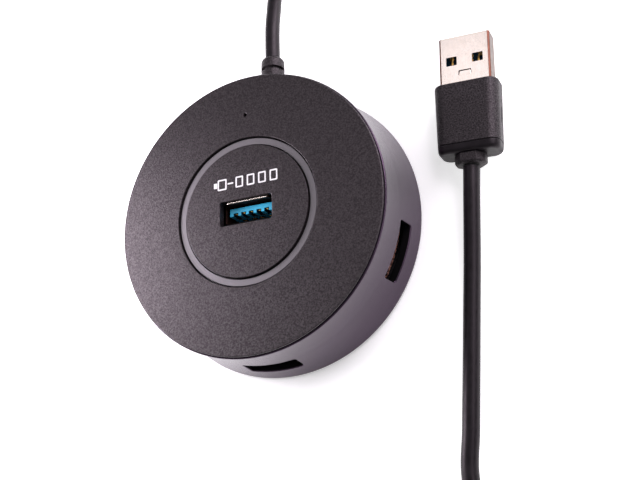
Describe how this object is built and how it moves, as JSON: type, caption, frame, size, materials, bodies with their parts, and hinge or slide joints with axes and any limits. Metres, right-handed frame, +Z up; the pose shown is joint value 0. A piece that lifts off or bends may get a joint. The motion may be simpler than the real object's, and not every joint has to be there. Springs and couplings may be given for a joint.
{
  "type": "usb hub",
  "caption": "Low round desktop USB hub with a socket in the middle of its lid, sockets round its wall, a recessed ring, and a lead coiled beside it that ends in a plug.",
  "frame": {"origin": "middle of the hub's underside, on the surface that its feet stand on", "axes": "+Z up out of the lid, +Y the way the lead leaves the hub, +X to the right, where the plug lies"},
  "size_m": [0.129, 0.1833, 0.02],
  "materials": {
    "lid_plastic": "fine spark-eroded texture, matt",
    "wall_plastic": "smooth satin",
    "ring_plastic": "smooth, translucent grey",
    "base_plastic": "fine texture",
    "foot_rubber": "matt",
    "screw_steel": "zinc plated",
    "board_laminate": "green solder mask",
    "chip_plastic": "moulded epoxy",
    "can_metal": "drawn can",
    "fuse_body": "ceramic-like",
    "led_lens": "clear",
    "clear_plastic": "clear",
    "nickel_plate": "nickel plated, folded sheet",
    "socket_blue": "moulded",
    "contact_gold": "gold plated",
    "cord_jacket": "satin PVC",
    "plug_plastic": "fine texture",
    "wire_red": "PVC insulation",
    "wire_black": "PVC insulation",
    "wire_white": "PVC insulation",
    "wire_green": "PVC insulation",
    "wire_blue": "PVC insulation",
    "wire_yellow": "PVC insulation"
  },
  "bodies": {
    "root": {"housing_shell": "wall_plastic", "top_cover": "lid_plastic", "light_ring": "ring_plastic", "centre_plate": "lid_plastic", "base_cover": "base_plastic", "foot_1": "foot_rubber", "foot_2": "foot_rubber", "foot_3": "foot_rubber", "foot_4": "foot_rubber", "base_screw_1": "screw_steel", "base_screw_2": "screw_steel", "base_screw_3": "screw_steel", "base_screw_4": "screw_steel", "main_board": "board_laminate", "hub_controller": "chip_plastic", "crystal": "can_metal", "voltage_regulator": "chip_plastic", "resettable_fuse": "fuse_body", "status_led": "led_lens", "light_pipe": "clear_plastic", "capacitor_1": "can_metal", "capacitor_2": "can_metal", "capacitor_3": "can_metal", "capacitor_4": "can_metal", "port_shell_top": "nickel_plate", "port_insulator_top": "socket_blue", "port_contacts_top": "contact_gold", "port_shell_right": "nickel_plate", "port_insulator_right": "socket_blue", "port_contacts_right": "contact_gold", "port_shell_front": "nickel_plate", "port_insulator_front": "socket_blue", "port_contacts_front": "contact_gold", "port_shell_left": "nickel_plate", "port_insulator_left": "socket_blue", "port_contacts_left": "contact_gold", "cable_gland": "plug_plastic", "inner_cord": "cord_jacket", "cord_clamp": "base_plastic", "inner_wire_1": "wire_red", "inner_wire_2": "wire_black", "inner_wire_3": "wire_white", "inner_wire_4": "wire_green", "inner_wire_5": "wire_blue", "inner_wire_6": "wire_yellow", "cord_hub_run": "cord_jacket", "cord_coil": "cord_jacket", "cord_plug_run": "cord_jacket", "plug_collar": "plug_plastic", "plug_end_band": "plug_plastic", "plug_body": "plug_plastic", "plug_shell": "nickel_plate", "plug_insulator": "socket_blue", "plug_contacts": "contact_gold"}
  },
  "joints": []
}
